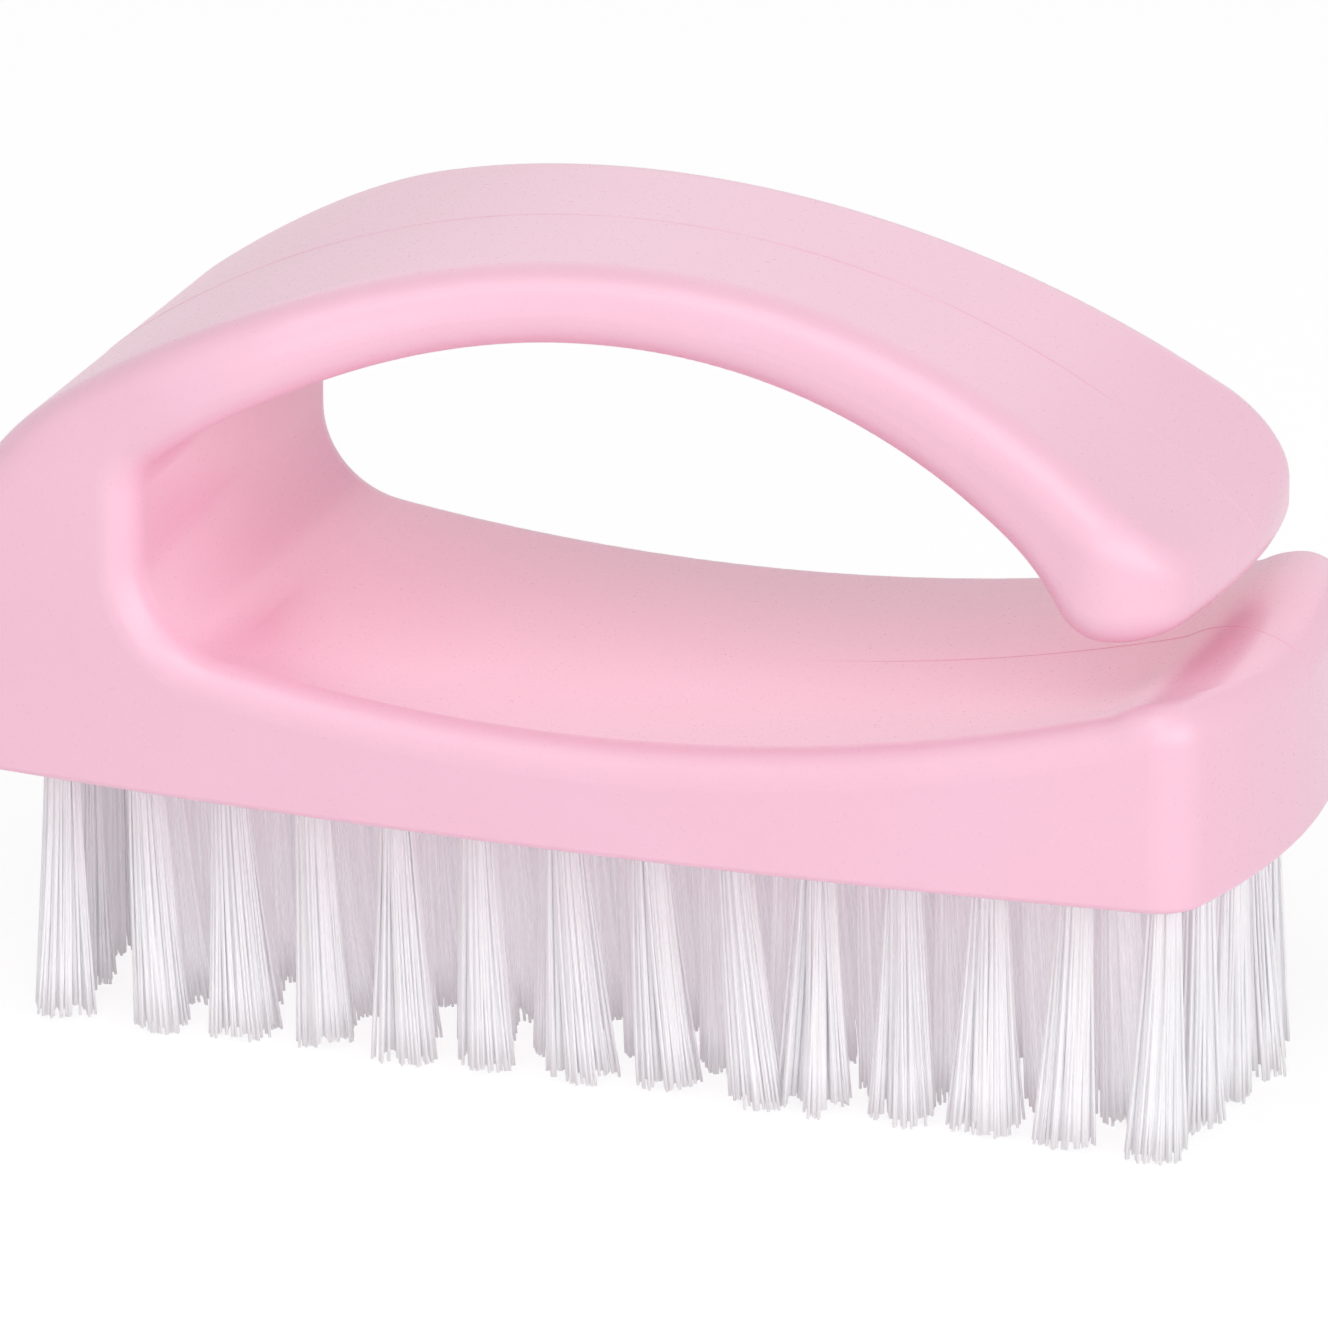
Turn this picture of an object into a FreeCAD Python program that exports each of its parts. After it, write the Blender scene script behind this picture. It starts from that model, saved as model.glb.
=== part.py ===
import FreeCAD, Part
import math
import os

# Nail brush: one moulded block with an open loop handle, bristle tufts and the anchors that hold them.
# X runs along the brush with the closed heel at -X and the open tip of the handle at +X.
# Y runs across it with the front at -Y, and Z is up.
# The origin lies on the plane of the trimmed bristle tips, under the middle of the block.

# Block, in millimetres
body_length = 96.0
body_width = 42.0
side_bow_radius = 435.0
end_bow_radius = 56.0
corner_radius = 3.7
block_thickness = 7.9
bottom_edge_radius = 0.5

# Dished floor of the block, which climbs to the crest of the lip at its open end
dish_offset = -1.0
lip_rise = 6.8
lip_radius = 7.0
lip_inset = 5.0
lip_crease_radius = 3.5

# Heel, which carries the handle
heel_length = 16.2
heel_corner_radius = 6.8
shoulder_radius = 22.3
shoulder_overhang = 0.2

# Finger window, and the handle over it: thick at the heel wall, thin at the crest, thick again at the hook
window_height = 26.0
window_crest_offset = -1.5
window_corner_radius = 3.0
handle_root_thickness = 8.4
handle_thickness = 5.7
handle_neck_thickness = 8.3
crown_offset = -0.6

# Waist of the handle, seen from above, whose curve starts a little past the heel wall
waist_width = 24.6
waist_start = 0.8
waist_offset = 12.0
waist_blend_radius = 26.0

# Open tip of the handle, which hooks down behind the lip
tip_setback = 3.9
tip_bow_radius = 53.0
tip_corner_radius = 6.0
hook_length = 18.0
hook_radius = 16.0
tip_nose_radius = 4.0
tip_gap = 2.8
tip_sole_rise = 1.5
tip_height = 4.7

# Rounding of the moulding's edges, and how much of each thin wall two roundings may take together
crown_edge_radius = 3.0
edge_radius = 2.5
root_wall_share = 0.75
crest_wall_share = 0.97
tip_wall_share = 0.93

# Bristle tufts
trim_length = 20.7
tuft_diameter = 2.8
tuft_tip_gap = 1.0
tuft_clearance = 0.05
hole_depth = 5.5
row_spacing = 5.6
row_offset = 0.2
outer_row_inset = 7.05
inner_row_inset = 6.4
middle_row_inset = 5.9
outer_row_count = 14
inner_row_count = 15
middle_row_count = 15

# Flat wire anchors, one across the folded root of each tuft
anchor_thickness = 0.3
anchor_height = 1.6
anchor_bite = 0.35
anchor_cover = 0.9

# Room by which cutting shapes run past what they cut
overrun = 4.0

# Levels and places that follow from the sizes above
half_length = body_length / 2
half_width = body_width / 2
dish_level = trim_length + block_thickness
window_level = dish_level + window_height
crown_level = window_level + handle_thickness
lip_level = dish_level + lip_rise
sole_level = lip_level + tip_gap
wall_x = heel_length - half_length
hook_x = half_length - hook_length
lip_x = half_length - lip_inset
tip_x = half_length - tip_setback


# Plane geometry on pairs of numbers
def towards(start, end, distance):
    """Point at a distance from start, in the direction of end."""
    length = math.dist(start, end)
    return (start[0] + (end[0] - start[0]) * distance / length,
            start[1] + (end[1] - start[1]) * distance / length)


def circles_meet(first, first_radius, second, second_radius, side):
    """Point where two circles meet, to the left (1) or right (-1) of the line between their centres."""
    distance = math.dist(first, second)
    along = (first_radius ** 2 - second_radius ** 2 + distance ** 2) / (2 * distance)
    across = side * math.sqrt(first_radius ** 2 - along ** 2)
    unit = ((second[0] - first[0]) / distance, (second[1] - first[1]) / distance)
    return (first[0] + unit[0] * along - unit[1] * across,
            first[1] + unit[1] * along + unit[0] * across)


def on_circle_at_x(centre, radius, x, side):
    """Point of a circle at an x, on its upper (1) or lower (-1) half."""
    return x, centre[1] + side * math.sqrt(radius ** 2 - (x - centre[0]) ** 2)


def on_circle_at_height(centre, radius, height, side):
    """Point of a circle at a height, on its right (1) or left (-1) half."""
    return centre[0] + side * math.sqrt(radius ** 2 - (height - centre[1]) ** 2), height


def arc_radius(run, rise):
    """Radius of an arc that starts level and climbs or drops by a rise over a run."""
    return (run ** 2 + rise ** 2) / (2 * rise)


def in_plan(point):
    return FreeCAD.Vector(point[0], point[1], 0)


def in_profile(point):
    return FreeCAD.Vector(point[0], 0, point[1])


def outline_face(stations, place):
    """Face inside a closed outline, whose stations are points and the centres of the arcs that leave them."""
    edges = []
    for (start, centre), (end, _) in zip(stations, stations[1:] + stations[:1]):
        if centre is None:
            edges.append(Part.LineSegment(place(start), place(end)).toShape())
            continue
        chord_middle = ((start[0] + end[0]) / 2, (start[1] + end[1]) / 2)
        middle = towards(centre, chord_middle, math.dist(centre, start))
        edges.append(Part.Arc(place(start), place(middle), place(end)).toShape())
    return Part.Face(Part.Wire(edges))


# Side profile: its long arcs, from the rises, drops and thicknesses that they span
dish_radius = arc_radius(lip_x - dish_offset, lip_rise)
dish_centre = (dish_offset, dish_level + dish_radius)
crown_radius = arc_radius(tip_x - crown_offset, crown_level - sole_level - tip_height)
crown_centre = (crown_offset, crown_level - crown_radius)
crown_at_wall = on_circle_at_x(crown_centre, crown_radius, wall_x, 1)
crown_at_hook = on_circle_at_x(crown_centre, crown_radius, hook_x, 1)
heel_drop = window_level - crown_at_wall[1] + handle_root_thickness
hook_drop = window_level - crown_at_hook[1] + handle_neck_thickness
window_heel_radius = arc_radius(wall_x - window_crest_offset, heel_drop)
window_tip_radius = arc_radius(hook_x - window_crest_offset, hook_drop)
heel_arc_centre = (window_crest_offset, window_level - window_heel_radius)
tip_arc_centre = (window_crest_offset, window_level - window_tip_radius)

# Shoulder that carries the crown down to the heel's end
shoulder_x = shoulder_radius - shoulder_overhang - half_length
shoulder_centre = on_circle_at_x(crown_centre, crown_radius - shoulder_radius, shoulder_x, 1)
shoulder_start = towards(crown_centre, shoulder_centre, crown_radius)

# Hook and open tip: a nose under the hook, and a sole that rises to the end face
hook_start = on_circle_at_x(tip_arc_centre, window_tip_radius, hook_x, 1)
hook_centre = towards(hook_start, tip_arc_centre, hook_radius)
nose_centre = on_circle_at_height(hook_centre, hook_radius + tip_nose_radius, sole_level + tip_nose_radius, 1)
tip_sole_radius = arc_radius(tip_x - nose_centre[0], tip_sole_rise)
sole_centre = (nose_centre[0], sole_level + tip_sole_radius)

# Corners of the window at the heel wall, and the level between them on which the two profiles meet
floor_corner_centre = on_circle_at_x(dish_centre, dish_radius - heel_corner_radius,
                                     wall_x + heel_corner_radius, -1)
window_corner_centre = on_circle_at_x(heel_arc_centre, window_heel_radius - window_corner_radius,
                                      wall_x + window_corner_radius, 1)
join_level = (floor_corner_centre[1] + window_corner_centre[1]) / 2
shoulder_join = on_circle_at_height(shoulder_centre, shoulder_radius, join_level, -1)


def profile_prism(stations):
    """Solid with a side profile, running past both sides of the block."""
    face = outline_face(stations, in_profile)
    reach = half_width + overrun
    face.translate(FreeCAD.Vector(0, -reach, 0))
    return face.extrude(FreeCAD.Vector(0, 2 * reach, 0))


def block_profile():
    """Block with its dished floor and lip, rising into the lower part of the heel."""
    dish_start = towards(dish_centre, floor_corner_centre, dish_radius)
    lip_centre = (lip_x, lip_level - lip_radius)
    crease_centre = circles_meet(dish_centre, dish_radius - lip_crease_radius,
                                 lip_centre, lip_radius + lip_crease_radius, -1)
    dish_end = towards(dish_centre, crease_centre, dish_radius)
    lip_start = towards(lip_centre, crease_centre, lip_radius)
    lip_end = (lip_centre[0] + lip_radius, lip_centre[1])
    heel_end = on_circle_at_height(shoulder_centre, shoulder_radius, shoulder_centre[1], -1)
    return profile_prism([
        ((heel_end[0], trim_length), None),
        ((lip_end[0], trim_length), None),
        (lip_end, lip_centre),
        (lip_start, crease_centre),
        (dish_end, dish_centre),
        (dish_start, floor_corner_centre),
        ((wall_x, floor_corner_centre[1]), None),
        ((wall_x, join_level), None),
        (shoulder_join, shoulder_centre),
        (heel_end, None),
    ])


def handle_profile():
    """Upper part of the heel, the loop over the window and the open tip."""
    heel_arc_start = towards(heel_arc_centre, window_corner_centre, window_heel_radius)
    nose_start = towards(hook_centre, nose_centre, hook_radius)
    tip_end = circles_meet(sole_centre, tip_sole_radius, crown_centre, crown_radius, 1)
    return profile_prism([
        ((wall_x, join_level), None),
        ((wall_x, window_corner_centre[1]), window_corner_centre),
        (heel_arc_start, heel_arc_centre),
        ((window_crest_offset, window_level), tip_arc_centre),
        (hook_start, hook_centre),
        (nose_start, nose_centre),
        ((nose_centre[0], sole_level), sole_centre),
        (tip_end, crown_centre),
        (shoulder_start, shoulder_centre),
        (shoulder_join, None),
    ])


# Outlines seen from above: centres of their arcs on the front half
side_centre = (0, side_bow_radius - half_width)
end_centre = (half_length - end_bow_radius, 0)
tip_centre = (tip_x - tip_bow_radius, 0)
corner_centre = circles_meet(end_centre, end_bow_radius - corner_radius,
                             side_centre, side_bow_radius - corner_radius, -1)
corner_on_end = towards(end_centre, corner_centre, end_bow_radius)
corner_on_side = towards(side_centre, corner_centre, side_bow_radius)

# Waist: a convex blend that leaves the side past the heel wall, and the hollow arc that it runs into
blend_on_side = on_circle_at_x(side_centre, side_bow_radius, wall_x + waist_start, -1)
blend_centre = towards(blend_on_side, side_centre, waist_blend_radius)
blend_run = waist_offset - blend_centre[0]
blend_reach = blend_centre[1] + waist_width / 2
waist_radius = ((blend_run ** 2 + blend_reach ** 2 - waist_blend_radius ** 2)
                / (2 * (waist_blend_radius - blend_reach)))
waist_centre = (waist_offset, -waist_width / 2 - waist_radius)
blend_on_waist = towards(waist_centre, blend_centre, waist_radius)


def front_to_back(point):
    return point[0], -point[1]


def end_to_end(point):
    return -point[0], point[1]


def plan_prism(stations):
    """Solid over an outline in plan, from below the block to above the handle."""
    face = outline_face(stations, in_plan)
    face.translate(FreeCAD.Vector(0, 0, trim_length - overrun))
    return face.extrude(FreeCAD.Vector(0, 0, crown_level - trim_length + 2 * overrun))


def heel_stations():
    """Outline round the heel end, from the back side to the front side."""
    corner, on_end, on_side = (end_to_end(point) for point in (corner_centre, corner_on_end, corner_on_side))
    return [
        (front_to_back(on_side), front_to_back(corner)),
        (front_to_back(on_end), end_to_end(end_centre)),
        (on_end, corner),
        (on_side, side_centre),
    ]


def block_plan():
    """Block seen from above: sides and ends bowed outwards, with rounded corners."""
    return plan_prism(heel_stations() + [
        (corner_on_side, corner_centre),
        (corner_on_end, end_centre),
        (front_to_back(corner_on_end), front_to_back(corner_centre)),
        (front_to_back(corner_on_side), front_to_back(side_centre)),
    ])


def handle_plan():
    """Handle seen from above: the block's outline at the heel, drawn in to a waist, then the bowed tip."""
    tip_corner_centre = circles_meet(waist_centre, waist_radius + tip_corner_radius,
                                     tip_centre, tip_bow_radius - tip_corner_radius, -1)
    tip_on_waist = towards(waist_centre, tip_corner_centre, waist_radius)
    tip_on_end = towards(tip_centre, tip_corner_centre, tip_bow_radius)
    return plan_prism(heel_stations() + [
        (blend_on_side, blend_centre),
        (blend_on_waist, waist_centre),
        (tip_on_waist, tip_corner_centre),
        (tip_on_end, tip_centre),
        (front_to_back(tip_on_end), front_to_back(tip_corner_centre)),
        (front_to_back(tip_on_waist), front_to_back(waist_centre)),
        (front_to_back(blend_on_waist), front_to_back(blend_centre)),
        (front_to_back(blend_on_side), front_to_back(side_centre)),
    ])


def face_kind(face):
    """Whether a face comes from the plan, the crown, the underside, the rest of the profile or a rounding."""
    if not isinstance(face.Surface, (Part.Plane, Part.Cylinder)):
        return "rounding"
    axis = face.Surface.Axis
    if isinstance(face.Surface, Part.Plane):
        return "underside" if face.BoundBox.ZMax < dish_level else "profile"
    if abs(axis.z) > abs(axis.y):
        return "plan"
    on_crown = any(math.isclose(face.Surface.Radius, radius) for radius in (crown_radius, shoulder_radius))
    return "crown" if on_crown else "profile"


def edges_between(solid, *kinds):
    """Edges where faces of two kinds meet."""
    found = []
    for edge in solid.Edges:
        faces = solid.ancestorsOfType(edge, Part.Face)
        if {face_kind(face) for face in faces} == set(kinds):
            found.append(edge)
    return found


def taken_at_tip(run, arc):
    """Share of its radius that a rounding takes off the tip's end face, where an arc ends there after a run."""
    return math.tan(math.acos(run / arc) / 2)


def rounding(radius):
    """Radius of a rounding, or less where the two roundings of a thin wall would meet."""
    on_handle = edge_radius + crown_edge_radius
    on_tip = (edge_radius * taken_at_tip(tip_x - sole_centre[0], tip_sole_radius)
              + crown_edge_radius * taken_at_tip(tip_x - crown_offset, crown_radius))
    return radius * min(1, handle_root_thickness * root_wall_share / on_handle,
                        handle_thickness * crest_wall_share / on_handle,
                        (tip_height - tip_sole_rise) * tip_wall_share / on_tip)


def moulding():
    """Block, heel and handle as one moulding with rounded edges, before drilling."""
    block = block_profile().common(block_plan())
    handle = handle_profile().common(handle_plan())
    sharp = block.fuse(handle).removeSplitter().Solids[0]
    rounded = sharp.makeFillet(rounding(edge_radius), edges_between(sharp, "plan", "profile"))
    rounded = rounded.makeFillet(rounding(crown_edge_radius), edges_between(rounded, "plan", "crown"))
    lowest = [edge for edge in rounded.Edges if edge.BoundBox.ZMax < trim_length + bottom_edge_radius]
    return rounded.makeFillet(bottom_edge_radius, lowest).Solids[0]


# Tufts and anchors, row by row from the front to the back
row_counts = (outer_row_count, inner_row_count, middle_row_count, inner_row_count, outer_row_count)
row_insets = (outer_row_inset, inner_row_inset, middle_row_inset, inner_row_inset, outer_row_inset)
tuft_tip_diameter = row_spacing - tuft_tip_gap
hole_diameter = tuft_diameter + 2 * tuft_clearance
hole_top = trim_length + hole_depth
anchor_width = hole_diameter + 2 * anchor_bite
anchor_base = hole_top - anchor_cover - anchor_height


def tuft_places(row):
    """Centres of the tufts in a row, from the heel to the open end."""
    count = row_counts[row]
    length = body_length - 2 * row_insets[row]
    start = row_offset - length / 2
    y = (row - (len(row_counts) - 1) / 2) * row_spacing
    return [FreeCAD.Vector(start + length * index / (count - 1), y, 0) for index in range(count)]


def hole(place):
    """Blind hole drilled into the underside of the block."""
    start = place + FreeCAD.Vector(0, 0, trim_length - overrun)
    return Part.makeCylinder(hole_diameter / 2, hole_depth + overrun, start)


def anchor(place):
    """Flat piece of wire driven in across the tuft, whose ends bite into the wall of the hole."""
    corner = place + FreeCAD.Vector(-anchor_width / 2, -anchor_thickness / 2, anchor_base)
    return Part.makeBox(anchor_width, anchor_thickness, anchor_height, corner)


def tuft(place):
    """Bristles folded over their anchor in the hole, spreading from the block to the trimmed tips."""
    root_height = hole_depth - tuft_clearance
    root = Part.makeCylinder(tuft_diameter / 2, root_height, place + FreeCAD.Vector(0, 0, trim_length))
    bristles = Part.makeCone(tuft_tip_diameter / 2, tuft_diameter / 2, trim_length, place)
    return root.fuse(bristles).removeSplitter().Solids[0].cut(anchor(place)).Solids[0]


def drilled(solid):
    """Moulding with every hole drilled and every anchor's seat cut."""
    cutters = []
    for row in range(len(row_counts)):
        for place in tuft_places(row):
            cutters += [hole(place), anchor(place)]
    return solid.cut(cutters).Solids[0]


def tuft_nodes():
    """Tufts by node: each one round the edge by itself, and the inner ones of a row together."""
    nodes = {}
    last_row = len(row_counts) - 1
    for row in range(len(row_counts)):
        places = tuft_places(row)
        for index, place in enumerate(places):
            if row == 0:
                name = f"tuft_front_{index + 1:02d}"
            elif row == last_row:
                name = f"tuft_back_{index + 1:02d}"
            elif index == 0:
                name = f"tuft_heel_end_{row}"
            elif index == len(places) - 1:
                name = f"tuft_open_end_{row}"
            else:
                name = f"tufts_inner_row_{row}"
            nodes.setdefault(name, []).append(tuft(place))
    return nodes


def anchor_nodes():
    """Anchors by node, one node for each row."""
    return {f"anchors_row_{row + 1}": [anchor(place) for place in tuft_places(row)]
            for row in range(len(row_counts))}


def main():
    os.makedirs("parts", exist_ok=True)
    nodes = {"handle_body": [drilled(moulding())], **tuft_nodes(), **anchor_nodes()}
    for name, solids in nodes.items():
        shape = solids[0] if len(solids) == 1 else Part.makeCompound(solids)
        shape.exportStep(os.path.join("parts", name + ".step"))
        print(name, len(solids), "solids", round(shape.Volume, 1), "cubic millimetres", shape.isValid())


main()
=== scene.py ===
import math

import bmesh
import bpy
import numpy as np
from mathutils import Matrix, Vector


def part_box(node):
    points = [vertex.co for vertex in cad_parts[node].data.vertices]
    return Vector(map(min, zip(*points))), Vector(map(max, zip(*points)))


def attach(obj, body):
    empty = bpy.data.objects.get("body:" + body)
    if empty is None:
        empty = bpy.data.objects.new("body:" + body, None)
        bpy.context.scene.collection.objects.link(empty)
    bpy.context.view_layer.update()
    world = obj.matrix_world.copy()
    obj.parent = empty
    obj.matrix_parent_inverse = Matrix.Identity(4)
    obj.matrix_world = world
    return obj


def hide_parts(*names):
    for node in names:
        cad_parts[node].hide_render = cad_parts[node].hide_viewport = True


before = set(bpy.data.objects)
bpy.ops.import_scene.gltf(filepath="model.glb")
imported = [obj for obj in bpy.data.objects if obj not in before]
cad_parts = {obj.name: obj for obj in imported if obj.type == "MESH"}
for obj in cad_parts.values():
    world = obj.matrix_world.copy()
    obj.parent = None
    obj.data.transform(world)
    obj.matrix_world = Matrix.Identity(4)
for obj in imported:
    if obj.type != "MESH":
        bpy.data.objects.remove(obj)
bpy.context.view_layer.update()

MM = 0.001

# Camera, at the photograph's viewing angle
CAMERA_AZIMUTH = math.radians(19.68)
CAMERA_ELEVATION = math.radians(19.79)
CAMERA_DISTANCE = 1.0
CAMERA_TARGET = Vector((0.53, 0.0, 27.53)) * MM
CAMERA_LENS = 385.0
CAMERA_SENSOR = 36.0

# Bristles: nylon filaments that fan out of the holes of the CAD tufts, thicker and shorter inside a tuft
RANDOM_SEED = 41
FILAMENTS_PER_TUFT = 150
FILAMENT_RADIUS = 0.11 * MM
FILAMENT_SIDES = 5
FILAMENT_RINGS = 7
FLARE_POWER = 1.3
INNER_RADIUS = 0.19 * MM
INNER_SHARE = 0.55
INNER_SET_BACK = 0.4 * MM
CLUMPS_PER_TUFT = 7
TUFT_ROOT_RADIUS = 1.25 * MM
TUFT_TIP_RADIUS = 2.3 * MM
TUFT_ROOT_DEPTH = 1.0 * MM
ROW_TUFTS = 13

# How uneven the bristles are: the range of a tuft's fan, and the usual size of the other random draws
TUFT_FAN_SHARES = (0.86, 1.14)
TUFT_LEAN = 0.3 * MM
CLUMP_SCATTER = 0.3 * MM
CLUMP_RAGGED = 0.4 * MM
TIP_SCATTER = 0.12 * MM
TIP_RAGGED = 0.12 * MM
FILAMENT_CURL = 0.06 * MM
FILAMENT_TURN = 0.1

# How far the tips of tufts lean, in millimetres: each front tuft towards the open end, and those of the
# middle rows towards the open end and the front
MIDDLE_LEAN = (1.3, -0.6)
FRONT_LEANS = (0.0, 1.2, 0.9, 0.7, 0.6, 0.5, 1.2, 1.1, 1.4, 0.0, 0.3, 0.2, -0.3, 0.0)

# Parting line of the mould, a low ridge on the middle plane that fades out at its ends
RIDGE_WIDTH = 0.22 * MM
RIDGE_HEIGHT = 0.03 * MM
RIDGE_FLANK_SHARE = 0.7
RIDGE_SINK = 0.05 * MM
RIDGE_LOWEST = 26.4 * MM
RIDGE_END = 46.0 * MM
RIDGE_WINDOW_START = 8.0 * MM
RIDGE_FADE = 12.0 * MM
RIDGE_LEAST_SHARE = 0.15
WINDOW_MIDDLE = Vector((-4.0, 0.0, 42.0)) * MM
WELD_DISTANCE = 0.0005 * MM
CUT_DISTANCE = 0.0001 * MM

# Colours, linear
PINK = (0.958, 0.568, 0.706)
PINK_DEEP = (0.950, 0.554, 0.691)
# Darker pink of the parting line: painted shade along the ridge
PINK_SEAM_PAINTED_SHADE = (0.87, 0.43, 0.55)
NYLON = (0.964, 0.966, 0.981)
NYLON_SHADE = (0.948, 0.951, 0.967)
# Pinkish colour of the bristles' painted glow, an emission that brightens them as if lit
NYLON_PAINTED_GLOW = (1.0, 0.92, 0.91)
BRASS = (0.72, 0.58, 0.32)
BRASS_DARK = (0.55, 0.42, 0.20)
WHITE = (1.0, 1.0, 1.0)
FLOOR_GREY = (0.9, 0.9, 0.9)

# Surfaces, with the scale of each noise per millimetre
NOISE_DETAIL = 3.0
NOISE_RANGE = (0.3, 0.7)
COLOUR_RANGE = (0.35, 0.65)
MOTTLE_SCALE = 0.06
PEEL_SCALE = 0.5
PEEL_DETAIL = 1.0
PEEL_HEIGHT = 0.02 * MM
GRAIN_SCALE = 5.0
GRAIN_HEIGHT = 0.0015 * MM
PLASTIC_ROUGHNESS = (0.27, 0.31)
PLASTIC_IOR = 1.53
STREAK_SCALE = 3.0
STREAK_STRETCH = (1, 1, 30)
NYLON_ROUGHNESS = (0.4, 0.55)
NYLON_IOR = 1.45
WIRE_LINE_SCALE = 8.0
WIRE_LINE_STRETCH = (20, 1, 1)
WIRE_LINE_HEIGHT = 0.005 * MM
WIRE_PATCH_SCALE = 0.8
WIRE_ROUGHNESS = (0.25, 0.45)
FLOOR_ROUGHNESS = 0.9

# Strength of the nylon's painted glow, an emission at its cut tips and further up, in the outer tufts and in
# the middle rows
PAINTED_GLOW_REACH = 5.0 * MM
OUTER_PAINTED_GLOW = (0.07, 0.018)
MIDDLE_PAINTED_GLOW = (0.09, 0.076)

# Light: an even sky, dimmer overhead, and soft boxes by azimuth, elevation, size and power in watts
HORIZON_LIGHT = 0.42
ZENITH_LIGHT = 0.30
BACKDROP_LIGHT = 1.0
FLOOR_HALF_SIZE = 3.0
FLOOR_GLOW = 1.14
FLOOR_GLOW_SHARE = 0.7
SOFT_BOX_DISTANCE = 1.2
SOFT_BOXES = {"low_front": (20, 14, 0.7, 2.3),
              "high_front": (5, 60, 0.8, 3.8),
              "right": (62, 17, 1.0, 5.6),
              "left": (-50, 30, 1.0, 1.4),
              "back": (195, 35, 1.0, 1.9)}
MAX_BOUNCES = 24
DIFFUSE_BOUNCES = 20


# Material building blocks
def new_material(name):
    """Node material with a Principled shader; returns the material, its nodes, its links and the shader."""
    material = bpy.data.materials.new(name)
    material.use_nodes = True
    nodes, links = material.node_tree.nodes, material.node_tree.links
    return material, nodes, links, nodes["Principled BSDF"]


def millimetres(nodes, links, stretch=(1, 1, 1)):
    """Object coordinates in millimetres, each axis divided by its stretch."""
    place = nodes.new("ShaderNodeTexCoord")
    mapping = nodes.new("ShaderNodeMapping")
    mapping.inputs["Scale"].default_value = [1 / MM / factor for factor in stretch]
    links.new(place.outputs["Object"], mapping.inputs["Vector"])
    return mapping.outputs["Vector"]


def level_of(nodes, links, vector):
    """Z coordinate of a vector."""
    axes = nodes.new("ShaderNodeSeparateXYZ")
    links.new(vector, axes.inputs["Vector"])
    return axes.outputs["Z"]


def noise(nodes, links, vector, scale, detail=NOISE_DETAIL):
    """Value of a noise texture, which mostly stays near a half."""
    texture = nodes.new("ShaderNodeTexNoise")
    texture.inputs["Scale"].default_value = scale
    texture.inputs["Detail"].default_value = detail
    links.new(vector, texture.inputs["Vector"])
    return texture.outputs["Fac"]


def spread(nodes, links, value, goal, span=NOISE_RANGE):
    """A value whose span, by default that of a noise, is spread over the range that is the goal."""
    node = nodes.new("ShaderNodeMapRange")
    node.inputs["From Min"].default_value = span[0]
    node.inputs["From Max"].default_value = span[1]
    node.inputs["To Min"].default_value = goal[0]
    node.inputs["To Max"].default_value = goal[1]
    links.new(value, node.inputs["Value"])
    return node.outputs["Result"]


def between(nodes, links, value, first, second):
    """Colour from first to second as a noise value rises."""
    ramp = nodes.new("ShaderNodeValToRGB")
    for element, position, colour in zip(ramp.color_ramp.elements, COLOUR_RANGE, (first, second)):
        element.position = position
        element.color = (*colour, 1)
    links.new(value, ramp.inputs["Fac"])
    return ramp.outputs["Color"]


def bump(nodes, links, value, distance, before=None):
    """Normal of a surface that a value raises by up to a distance, on top of another bump before it."""
    node = nodes.new("ShaderNodeBump")
    node.inputs["Distance"].default_value = distance
    links.new(value, node.inputs["Height"])
    if before is not None:
        links.new(before, node.inputs["Normal"])
    return node.outputs["Normal"]


def plastic_material(name, first, second):
    """Satin moulded plastic: faint mottling between two pinks, which on the body is flow mottling and on the
    seam is painted shade of uneven depth, a soft orange peel and a fine etched grain.
    """
    material, nodes, links, shader = new_material(name)
    vector = millimetres(nodes, links)
    mottle = noise(nodes, links, vector, MOTTLE_SCALE)
    links.new(between(nodes, links, mottle, first, second), shader.inputs["Base Color"])
    grain = noise(nodes, links, vector, GRAIN_SCALE)
    links.new(spread(nodes, links, grain, PLASTIC_ROUGHNESS), shader.inputs["Roughness"])
    peel = bump(nodes, links, noise(nodes, links, vector, PEEL_SCALE, PEEL_DETAIL), PEEL_HEIGHT)
    links.new(bump(nodes, links, grain, GRAIN_HEIGHT, peel), shader.inputs["Normal"])
    shader.inputs["IOR"].default_value = PLASTIC_IOR
    return material


def nylon_material(name, glow):
    """White filament with slight streaks along it; its faint glow is painted light, an emission that stands
    in for light carried through the nylon and lifts its tips and the shaded middle rows.
    """
    material, nodes, links, shader = new_material(name)
    streaks = noise(nodes, links, millimetres(nodes, links, STREAK_STRETCH), STREAK_SCALE)
    links.new(between(nodes, links, streaks, NYLON_SHADE, NYLON), shader.inputs["Base Color"])
    links.new(spread(nodes, links, streaks, NYLON_ROUGHNESS), shader.inputs["Roughness"])
    shader.inputs["IOR"].default_value = NYLON_IOR
    # Painted glow: an emission that brightens the filaments, strongest at their cut tips
    shader.inputs["Emission Color"].default_value = (*NYLON_PAINTED_GLOW, 1)
    level = level_of(nodes, links, millimetres(nodes, links))
    strength = spread(nodes, links, level, glow, (0.0, PAINTED_GLOW_REACH / MM))
    links.new(strength, shader.inputs["Emission Strength"])
    return material


def brass_material():
    """Drawn flat wire: fine lines along it and a few darker patches."""
    material, nodes, links, shader = new_material("anchor_brass")
    lines = noise(nodes, links, millimetres(nodes, links, WIRE_LINE_STRETCH), WIRE_LINE_SCALE)
    patches = noise(nodes, links, millimetres(nodes, links), WIRE_PATCH_SCALE)
    links.new(between(nodes, links, patches, BRASS_DARK, BRASS), shader.inputs["Base Color"])
    links.new(spread(nodes, links, lines, WIRE_ROUGHNESS), shader.inputs["Roughness"])
    links.new(bump(nodes, links, lines, WIRE_LINE_HEIGHT), shader.inputs["Normal"])
    shader.inputs["Metallic"].default_value = 1.0
    return material


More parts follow.
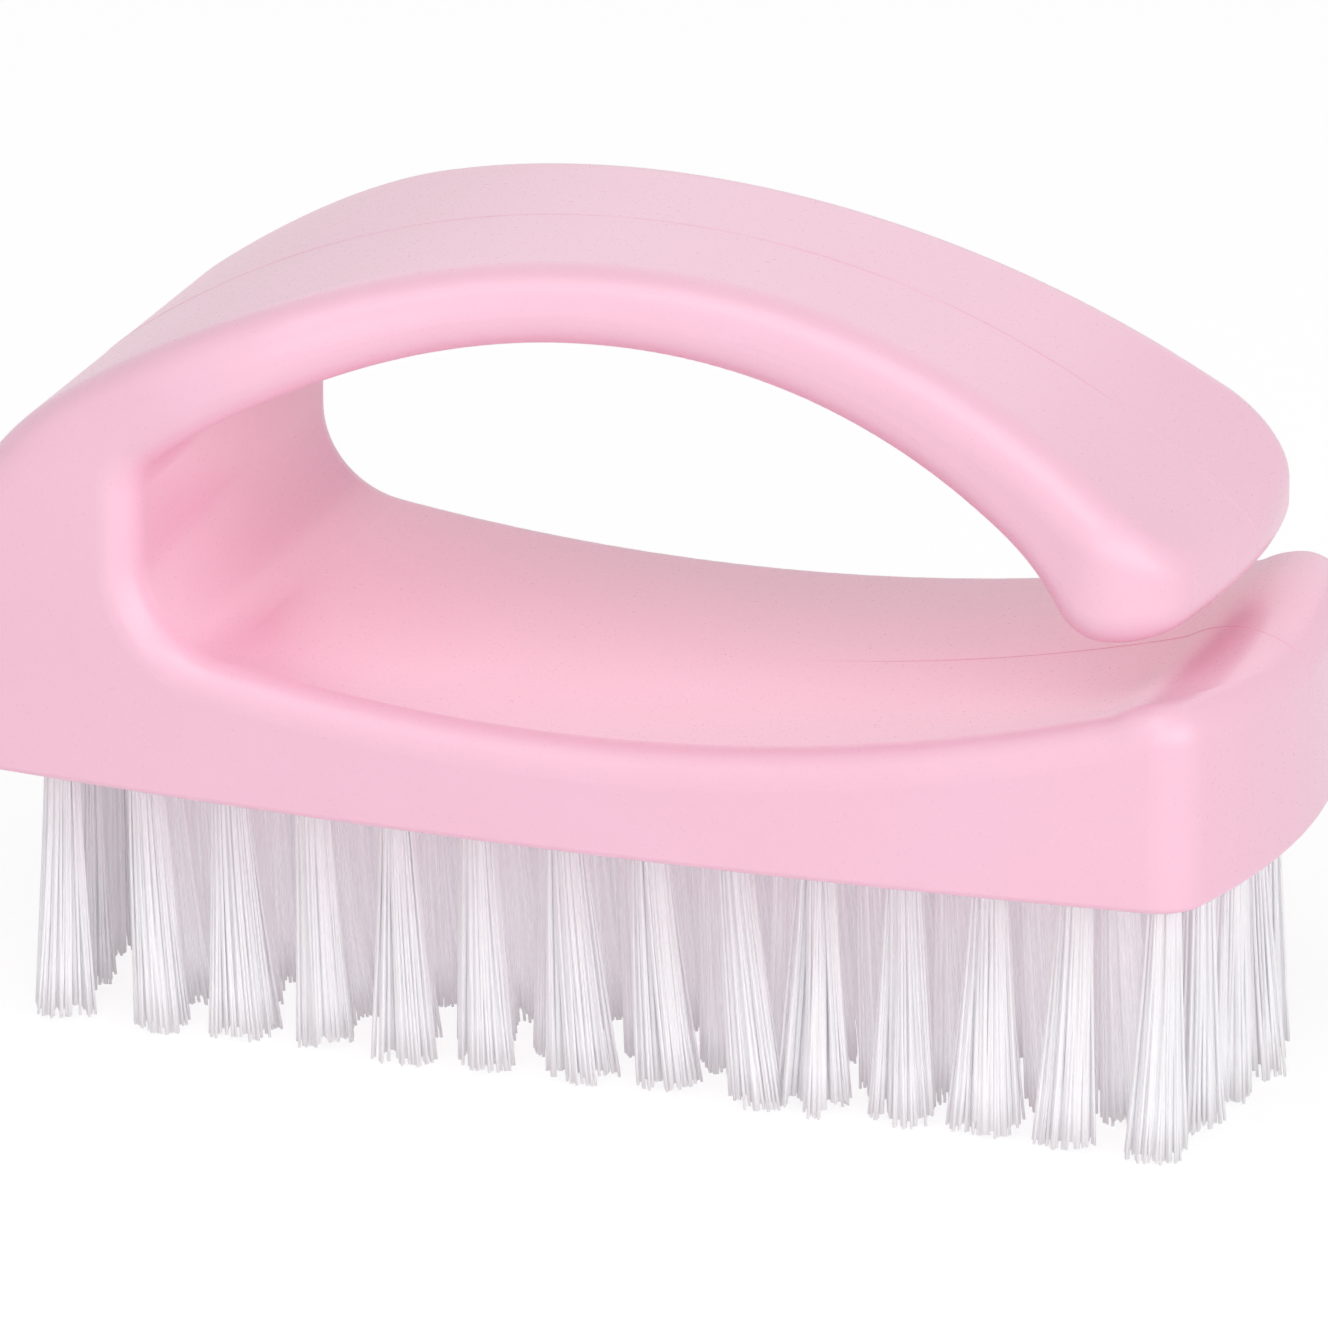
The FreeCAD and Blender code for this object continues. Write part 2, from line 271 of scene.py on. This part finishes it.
# Pieces
def new_piece(name, vertices, faces, material):
    """Mesh piece that rides on the part's one body."""
    mesh = bpy.data.meshes.new(name)
    mesh.from_pydata(vertices, [], faces)
    mesh.polygons.foreach_set("use_smooth", [True] * len(faces))
    mesh.materials.append(material)
    piece = bpy.data.objects.new(name, mesh)
    bpy.context.scene.collection.objects.link(piece)
    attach(piece, "root")
    return piece


def tube_faces(start, rings, sides):
    """Quads between the rings of points along one tube, whose first point is start, and its two ends."""
    last = start + (rings - 1) * sides
    faces = []
    for ring in range(start, last, sides):
        for side in range(sides):
            onward = (side + 1) % sides
            faces.append((ring + side, ring + sides + side, ring + sides + onward, ring + onward))
    faces.append(tuple(range(start, start + sides)))
    faces.append(tuple(range(last + sides - 1, last - 1, -1)))
    return faces


def face_outwards(mesh):
    """Turns the faces of closed shells so that all of them face outwards."""
    shell = bmesh.new()
    shell.from_mesh(mesh)
    bmesh.ops.recalc_face_normals(shell, faces=shell.faces)
    shell.to_mesh(mesh)
    shell.free()


def ridge_here(point, normal):
    """Whether the ridge runs at a point: not on the underside, in its holes or on the window's heel side."""
    if point.z < RIDGE_LOWEST:
        return abs(point.x) > RIDGE_END
    in_window = (WINDOW_MIDDLE - point).dot(normal) > 0
    return not in_window or point.x > RIDGE_WINDOW_START


def chains(edges):
    """Open chains of vertices that edges make, those with the end at the least X first."""
    neighbours = {}
    for edge in edges:
        first, second = edge.verts
        neighbours.setdefault(first, []).append(second)
        neighbours.setdefault(second, []).append(first)
    ends = [vertex for vertex in neighbours if len(neighbours[vertex]) == 1]
    found, seen = [], set()
    for end in sorted(ends, key=lambda vertex: vertex.co.x):
        if end in seen:
            continue
        chain, onward = [], [end]
        while onward:
            chain.append(onward[0])
            seen.add(onward[0])
            onward = [vertex for vertex in neighbours[onward[0]] if vertex not in seen]
        found.append(chain)
    return found


def ridge_lines(node):
    """Lines of the ridge on the middle plane of a CAD node, as lists of points with outward normals."""
    mesh = bmesh.new()
    mesh.from_mesh(node.data)
    bmesh.ops.remove_doubles(mesh, verts=mesh.verts, dist=WELD_DISTANCE)
    normals = mesh.verts.layers.float_vector.new("outward")
    for vertex in mesh.verts:
        vertex[normals] = vertex.normal
    geometry = mesh.verts[:] + mesh.edges[:] + mesh.faces[:]
    cut = bmesh.ops.bisect_plane(mesh, geom=geometry, dist=CUT_DISTANCE,
                                 plane_co=(0, 0, 0), plane_no=(0, 1, 0))
    edges = [item for item in cut["geom_cut"] if isinstance(item, bmesh.types.BMEdge)]
    edges = [edge for edge in edges if all(ridge_here(end.co, end[normals]) for end in edge.verts)]
    lines = [[(vertex.co.copy(), vertex[normals].copy()) for vertex in chain] for chain in chains(edges)]
    mesh.free()
    return lines


def ridge_shares(line):
    """Share of its full section that the ridge has at each point of a line, less towards the line's ends."""
    steps = [(second[0] - first[0]).length for first, second in zip(line, line[1:])]
    along = np.concatenate([[0.0], np.cumsum(steps)])
    return np.clip(np.minimum(along, along[-1] - along) / RIDGE_FADE, RIDGE_LEAST_SHARE, 1.0)


def parting_line(material):
    """Low ridge that the mould's two halves leave along the middle of the moulding."""
    flank = RIDGE_FLANK_SHARE * RIDGE_HEIGHT
    section = [(-0.5, -RIDGE_SINK), (-0.25, flank), (0, RIDGE_HEIGHT), (0.25, flank), (0.5, -RIDGE_SINK)]
    vertices, faces = [], []
    for line in ridge_lines(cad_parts["handle_body"]):
        faces += tube_faces(len(vertices), len(line), len(section))
        for (point, normal), share in zip(line, ridge_shares(line)):
            outward = Vector((normal.x, 0, normal.z)).normalized()
            for across, rise in section:
                vertices.append(point + (outward * rise + Vector((0, across * RIDGE_WIDTH, 0))) * share)
    piece = new_piece("parting_line", vertices, faces, material)
    face_outwards(piece.data)


def filament(root, tip, curl, thickness):
    """Rings of points round one filament, from its root to its cut tip, as vertices."""
    along = np.linspace(0.0, 1.0, FILAMENT_RINGS)[:, None]
    drift = along ** FLARE_POWER
    centre = root + (tip - root) * np.hstack([drift, drift, along])
    centre[:, :2] += np.sin(math.pi * along) * curl
    angles = np.arange(FILAMENT_SIDES) * 2 * math.pi / FILAMENT_SIDES
    ring = np.stack([np.cos(angles), np.sin(angles), np.zeros(FILAMENT_SIDES)], axis=1) * thickness
    return (centre[:, None, :] + ring[None, :, :]).reshape(-1, 3)


def tuft(x, y, root_level, lean, draw):
    """Vertices and faces of one tuft: filaments packed in the hole that fan out in clumps to ragged tips."""
    golden_angle = math.pi * (3 - math.sqrt(5))
    lean = draw.normal(0.0, TUFT_LEAN, 2) + np.array(lean) * MM
    fan = draw.uniform(*TUFT_FAN_SHARES) * TUFT_TIP_RADIUS / TUFT_ROOT_RADIUS
    clumps = draw.uniform(-TUFT_ROOT_RADIUS, TUFT_ROOT_RADIUS, (CLUMPS_PER_TUFT, 2))
    clump_drifts = draw.normal(0.0, CLUMP_SCATTER, (CLUMPS_PER_TUFT, 2))
    clump_levels = np.abs(draw.normal(0.0, CLUMP_RAGGED, CLUMPS_PER_TUFT))
    vertices, faces = [], []
    for index in range(FILAMENTS_PER_TUFT):
        share = (index + 0.5) / FILAMENTS_PER_TUFT
        inner = share < INNER_SHARE
        thickness = INNER_RADIUS if inner else FILAMENT_RADIUS
        set_back = INNER_SET_BACK if inner else 0.0
        radius = (TUFT_ROOT_RADIUS - FILAMENT_RADIUS) * math.sqrt(share)
        angle = index * golden_angle + draw.normal(0.0, FILAMENT_TURN)
        spoke = np.array([math.cos(angle), math.sin(angle)]) * radius
        root = np.array([x + spoke[0], y + spoke[1], root_level])
        clump = np.argmin(np.linalg.norm(clumps - spoke, axis=1))
        reach = spoke * fan + lean + clump_drifts[clump] + draw.normal(0.0, TIP_SCATTER, 2)
        level = clump_levels[clump] + abs(draw.normal(0.0, TIP_RAGGED)) + set_back
        tip = np.array([x + reach[0], y + reach[1], level])
        faces += tube_faces(len(vertices) * FILAMENT_RINGS * FILAMENT_SIDES, FILAMENT_RINGS, FILAMENT_SIDES)
        vertices.append(filament(root, tip, draw.normal(0.0, FILAMENT_CURL, 2), thickness))
    return np.concatenate(vertices), faces


def tuft_centres(node):
    """Places of the tufts in a CAD node, one or a whole row."""
    low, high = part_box(node)
    middle = (low + high) / 2
    if not node.startswith("tufts_"):
        return [(middle.x, middle.y)]
    first, last = low.x + TUFT_TIP_RADIUS, high.x - TUFT_TIP_RADIUS
    return [(first + (last - first) * index / (ROW_TUFTS - 1), middle.y) for index in range(ROW_TUFTS)]


def tip_lean(node):
    """Lean of a node's tufts: in the front row and between the ends as the photograph shows it, or none."""
    if node.startswith("tuft_front_"):
        return FRONT_LEANS[int(node.rsplit("_", 1)[1]) - 1], 0.0
    return MIDDLE_LEAN if node.startswith("tufts_inner_") else (0.0, 0.0)


def bristles(outer, middle):
    """One piece of filaments in place of each CAD node of tufts, with a material for the middle rows."""
    draw = np.random.default_rng(RANDOM_SEED)
    root_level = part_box("handle_body")[0].z + TUFT_ROOT_DEPTH
    for node in sorted(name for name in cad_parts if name.startswith("tuft")):
        vertices, faces, count = [], [], 0
        for x, y in tuft_centres(node):
            points, quads = tuft(x, y, root_level, tip_lean(node), draw)
            faces += [tuple(index + count for index in face) for face in quads]
            vertices.append(points)
            count += len(points)
        material = middle if node.startswith("tufts_inner_") else outer
        piece = new_piece("bristles_" + node.split("_", 1)[1], np.concatenate(vertices).tolist(), faces,
                          material)
        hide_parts(node)


def finish_cad_nodes(plastic, brass):
    """Materials of the CAD nodes that stay."""
    for name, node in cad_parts.items():
        if name == "handle_body":
            node.material_slots[0].material = plastic
        elif name.startswith("anchors"):
            node.material_slots[0].material = brass


# Stage, light and camera
def seen_rays(nodes, links):
    """One for camera, glossy and transmission rays, and zero for light that falls on the object."""
    path = nodes.new("ShaderNodeLightPath")
    total = path.outputs["Is Camera Ray"]
    for name in ("Is Glossy Ray", "Is Transmission Ray"):
        larger = nodes.new("ShaderNodeMath")
        larger.operation = "MAXIMUM"
        links.new(total, larger.inputs[0])
        links.new(path.outputs[name], larger.inputs[1])
        total = larger.outputs["Value"]
    return total


def white_world():
    """Even soft light, in front of a white backdrop."""
    world = bpy.data.worlds.new("studio")
    world.use_nodes = True
    bpy.context.scene.world = world
    nodes, links = world.node_tree.nodes, world.node_tree.links
    light = nodes["Background"]
    light.inputs["Color"].default_value = (*WHITE, 1)
    sky = nodes.new("ShaderNodeTexCoord")
    level = level_of(nodes, links, sky.outputs["Generated"])
    strength = spread(nodes, links, level, (HORIZON_LIGHT, ZENITH_LIGHT), (0.0, 1.0))
    links.new(strength, light.inputs["Strength"])
    backdrop = nodes.new("ShaderNodeBackground")
    backdrop.inputs["Color"].default_value = (*WHITE, 1)
    backdrop.inputs["Strength"].default_value = BACKDROP_LIGHT
    mix = nodes.new("ShaderNodeMixShader")
    links.new(seen_rays(nodes, links), mix.inputs[0])
    links.new(light.outputs[0], mix.inputs[1])
    links.new(backdrop.outputs[0], mix.inputs[2])
    links.new(mix.outputs[0], nodes["World Output"].inputs["Surface"])


def floor_material():
    """Matt paper that glows a little where it is seen, and so shows white but for the brush's soft shadow."""
    material, nodes, links, shader = new_material("floor_paper")
    shader.inputs["Base Color"].default_value = (*FLOOR_GREY, 1)
    shader.inputs["Roughness"].default_value = FLOOR_ROUGHNESS
    shader.inputs["Specular IOR Level"].default_value = 0.0
    glow = nodes.new("ShaderNodeEmission")
    glow.inputs["Color"].default_value = (*WHITE, 1)
    glow.inputs["Strength"].default_value = FLOOR_GLOW
    share = nodes.new("ShaderNodeMath")
    share.operation = "MULTIPLY"
    share.inputs[1].default_value = FLOOR_GLOW_SHARE
    links.new(seen_rays(nodes, links), share.inputs[0])
    mix = nodes.new("ShaderNodeMixShader")
    links.new(share.outputs["Value"], mix.inputs[0])
    links.new(shader.outputs[0], mix.inputs[1])
    links.new(glow.outputs[0], mix.inputs[2])
    links.new(mix.outputs[0], nodes["Material Output"].inputs["Surface"])
    return material


def floor():
    """Square floor at the level of the bristle tips."""
    size = FLOOR_HALF_SIZE
    mesh = bpy.data.meshes.new("floor")
    corners = [(-size, -size, 0), (size, -size, 0), (size, size, 0), (-size, size, 0)]
    mesh.from_pydata(corners, [], [(0, 1, 2, 3)])
    mesh.materials.append(floor_material())
    plane = bpy.data.objects.new("floor", mesh)
    bpy.context.scene.collection.objects.link(plane)


def direction(azimuth, elevation):
    """Unit vector from the brush towards an azimuth, 0 in front and 90 at the open end, and an elevation."""
    return Vector((math.sin(azimuth) * math.cos(elevation),
                   -math.cos(azimuth) * math.cos(elevation),
                   math.sin(elevation)))


def look_back(thing, towards, distance):
    """Places a lamp or camera at a distance in a direction, facing the brush."""
    thing.location = CAMERA_TARGET + towards * distance
    thing.rotation_mode = "QUATERNION"
    thing.rotation_quaternion = (-towards).to_track_quat("-Z", "Y")
    bpy.context.scene.collection.objects.link(thing)


def soft_boxes():
    """Square area lamps round the brush."""
    for name, (azimuth, elevation, size, power) in SOFT_BOXES.items():
        data = bpy.data.lights.new(name + "_soft_box", "AREA")
        data.size = size
        data.energy = power
        lamp = bpy.data.objects.new(data.name, data)
        look_back(lamp, direction(math.radians(azimuth), math.radians(elevation)), SOFT_BOX_DISTANCE)


def camera():
    """The photograph's camera, which the scene then uses."""
    data = bpy.data.cameras.new("camera")
    data.lens = CAMERA_LENS
    data.sensor_width = CAMERA_SENSOR
    eye = bpy.data.objects.new("camera", data)
    look_back(eye, direction(CAMERA_AZIMUTH, CAMERA_ELEVATION), CAMERA_DISTANCE)
    bpy.context.scene.camera = eye


finish_cad_nodes(plastic_material("body_plastic", PINK_DEEP, PINK), brass_material())
# The seam's darker pink is painted shade along the ridge, deeper in some stretches than others
parting_line(plastic_material("seam_plastic_painted_shade", PINK_SEAM_PAINTED_SHADE, PINK))
# Both nylons carry a painted glow: faint in the outer tufts, stronger in the shaded middle rows
bristles(nylon_material("bristle_nylon", OUTER_PAINTED_GLOW),
         nylon_material("bristle_nylon_middle", MIDDLE_PAINTED_GLOW))
white_world()
floor()
soft_boxes()
camera()
bpy.context.scene.view_settings.view_transform = "Standard"
bpy.context.scene.cycles.max_bounces = MAX_BOUNCES
bpy.context.scene.cycles.diffuse_bounces = DIFFUSE_BOUNCES
